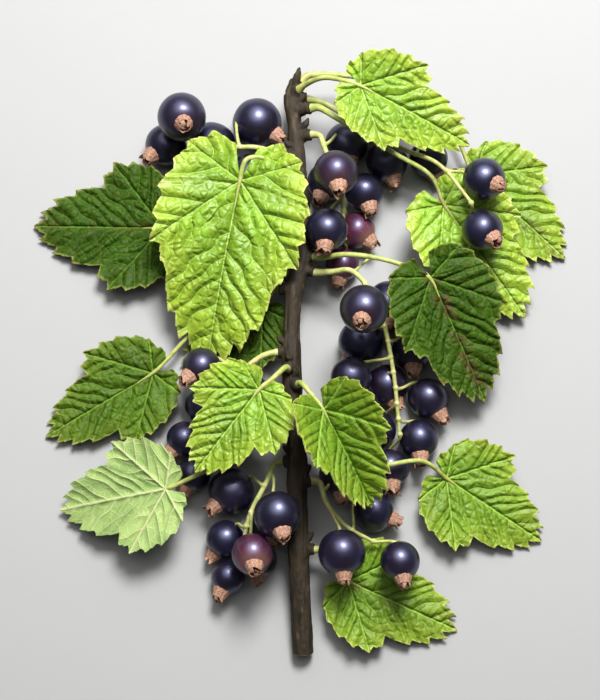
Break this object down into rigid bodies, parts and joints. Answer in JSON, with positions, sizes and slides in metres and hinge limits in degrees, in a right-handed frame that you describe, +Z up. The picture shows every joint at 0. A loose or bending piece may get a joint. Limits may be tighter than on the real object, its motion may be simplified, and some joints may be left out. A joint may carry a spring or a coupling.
{
  "type": "blackcurrant sprig",
  "caption": "Cut blackcurrant sprig lying on a surface: a woody cane with lobed, toothed leaves and strings of glossy dark berries that end in dried flowers.",
  "frame": {"origin": "on the surface that the sprig lies on, under the middle of its box", "axes": "+Y along the cane from the cut end to the tip, +Z up from the surface, +X to the right seen from above"},
  "size_m": [0.1402, 0.1516, 0.0345],
  "materials": {
    "bark": "matte",
    "leaf": "satin",
    "berry": "gloss"
  },
  "bodies": {
    "root": {"woody_cane": "bark", "leaf_upper_left": "leaf", "leaf_small_front": "leaf", "leaf_folded_front": "leaf", "leaf_upper_right": "leaf", "leaf_right": "leaf", "leaf_top_right": "leaf", "leaf_far_right": "leaf", "leaf_behind_left": "leaf", "leaf_left": "leaf", "leaf_far_left": "leaf", "leaf_lower_left": "leaf", "leaf_bottom": "leaf", "leaf_lower_right": "leaf", "strig_upper_left": "berry", "strig_top_centre": "berry", "strig_upper_right": "berry", "strig_middle_right": "berry", "strig_middle_left": "berry", "strig_lower_left": "berry", "strig_lower_right": "berry"}
  },
  "joints": []
}
